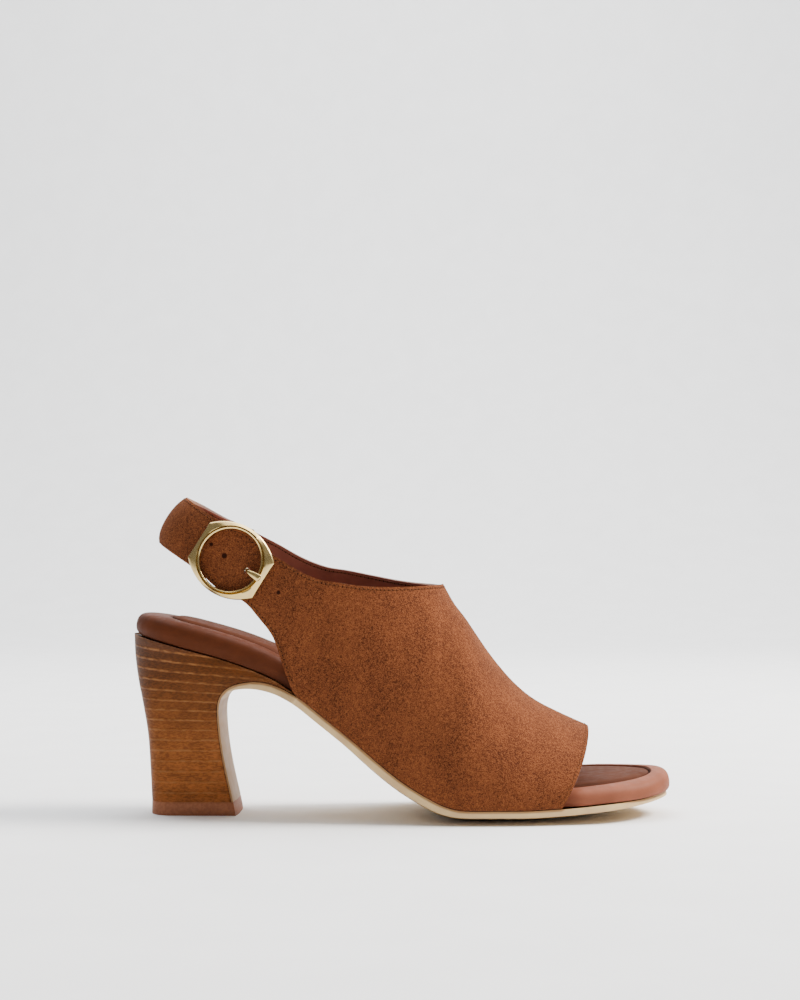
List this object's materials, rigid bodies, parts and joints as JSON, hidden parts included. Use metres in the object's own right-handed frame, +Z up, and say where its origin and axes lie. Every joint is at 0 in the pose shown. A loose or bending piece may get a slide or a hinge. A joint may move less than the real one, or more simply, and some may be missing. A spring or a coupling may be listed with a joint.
{
  "type": "suede sandal",
  "caption": "Open-toe slingback sandal with a suede upper on a leather-wrapped footbed and a stacked block heel; a brass ring buckle fastens the heel strap on the outer side",
  "frame": {"origin": "on the floor under the middle of the bounding box", "axes": "+X points to the toe, +Y to the inner side of the foot, +Z up"},
  "size_m": [0.2242, 0.0818, 0.1323],
  "materials": {
    "suede": "matt suede with a short nap, caramel brown",
    "rim_leather": "smooth satin leather, reddish brown",
    "sock_leather": "smooth satin leather, dark brown",
    "sole_leather": "smooth cream leather",
    "heel_stack": "satin stacked leather with lighter layer lines",
    "heel_rubber": "satin brown rubber",
    "brass": "pale gold satin"
  },
  "bodies": {
    "root": {"upper": "suede", "footbed": "rim_leather", "sock_pad": "sock_leather", "outsole": "sole_leather", "heel": "heel_stack", "top_piece": "heel_rubber", "buckle_frame": "brass", "buckle_prong": "brass"}
  },
  "joints": []
}
